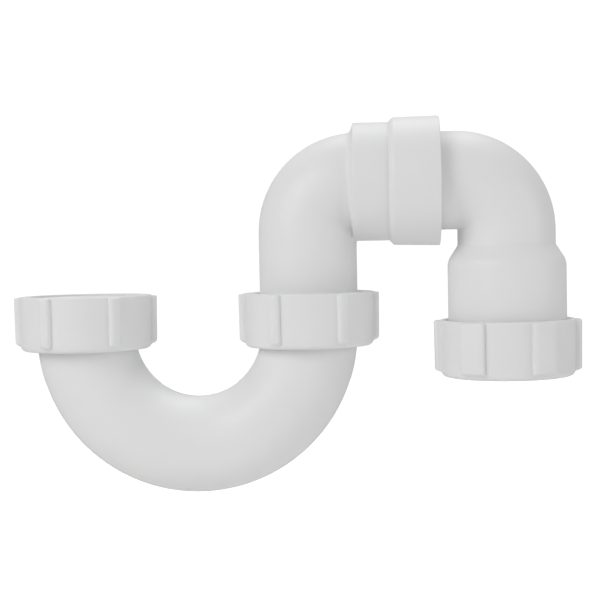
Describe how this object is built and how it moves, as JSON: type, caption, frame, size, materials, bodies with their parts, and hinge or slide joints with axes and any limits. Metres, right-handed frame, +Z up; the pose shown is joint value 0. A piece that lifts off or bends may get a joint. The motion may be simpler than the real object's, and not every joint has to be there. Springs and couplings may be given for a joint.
{
  "type": "combination trap",
  "caption": "Tubular swivel trap in white polypropylene: U-bend, threaded riser, a swivel joint held by a clipped cap, and a turning outlet with a compression socket for a waste pipe.",
  "frame": {"origin": "seat of the inlet, where the waste's tail bears on the flat washer, on the inlet's axis", "axes": "+Z up the inlet, against the flow; +X from the inlet towards the outlet; the outlet points along -Z at rest"},
  "size_m": [0.2494, 0.0628, 0.1638],
  "materials": {
    "white_pp": "satin moulded white polypropylene",
    "nut_pp": "satin moulded white polypropylene",
    "black_rubber": "matt black rubber",
    "natural_pe": "natural polyethylene, waxy"
  },
  "bodies": {
    "trap": {"u_bend": "white_pp", "inlet_washer": "black_rubber"},
    "inlet_nut": {"inlet_nut": "nut_pp"},
    "swing": {"union_washer": "black_rubber"},
    "union_nut": {"union_nut": "nut_pp"},
    "riser": {"riser_bend": "white_pp", "swivel_seal": "black_rubber", "swivel_cap": "white_pp"},
    "outlet": {"outlet_bend": "white_pp"},
    "outlet_ring": {"outlet_slip_ring": "natural_pe", "outlet_seal": "black_rubber"},
    "outlet_nut": {"outlet_nut": "nut_pp"}
  },
  "joints": [
    {"name": "inlet_nut_turn", "type": "hinge", "parent": "trap", "child": "inlet_nut", "pos_m": [0, 0, 0], "axis": [0, 0, -1], "continuous": true},
    {"name": "riser_swing", "type": "hinge", "parent": "trap", "child": "swing", "pos_m": [0.0986, 0, 0], "axis": [0, 0, 1], "range_deg": [-135, 135]},
    {"name": "union_nut_turn", "type": "hinge", "parent": "swing", "child": "union_nut", "pos_m": [0.0986, 0, 0], "axis": [0, 0, -1], "range_deg": [0, 1801]},
    {"name": "riser_lift", "type": "slide", "parent": "swing", "child": "riser", "axis": [0, 0, 1], "range_m": [0, 0.01154]},
    {"name": "outlet_swivel", "type": "hinge", "parent": "riser", "child": "outlet", "pos_m": [0.0986, 0, 0.0649], "axis": [1, 0, 0], "continuous": true},
    {"name": "outlet_nut_travel", "type": "slide", "parent": "outlet", "child": "outlet_ring", "axis": [0, 0, -1], "range_m": [0, 0.012]},
    {"name": "outlet_nut_turn", "type": "hinge", "parent": "outlet_ring", "child": "outlet_nut", "pos_m": [0.186, 0, 0], "axis": [0, 0, -1], "range_deg": [0, 1081]}
  ],
  "couplings": [
    {"joint": "union_nut_turn", "follows": "riser_lift", "rad_per_m": 2721.2},
    {"joint": "outlet_nut_turn", "follows": "outlet_nut_travel", "rad_per_m": 1570.8}
  ]
}
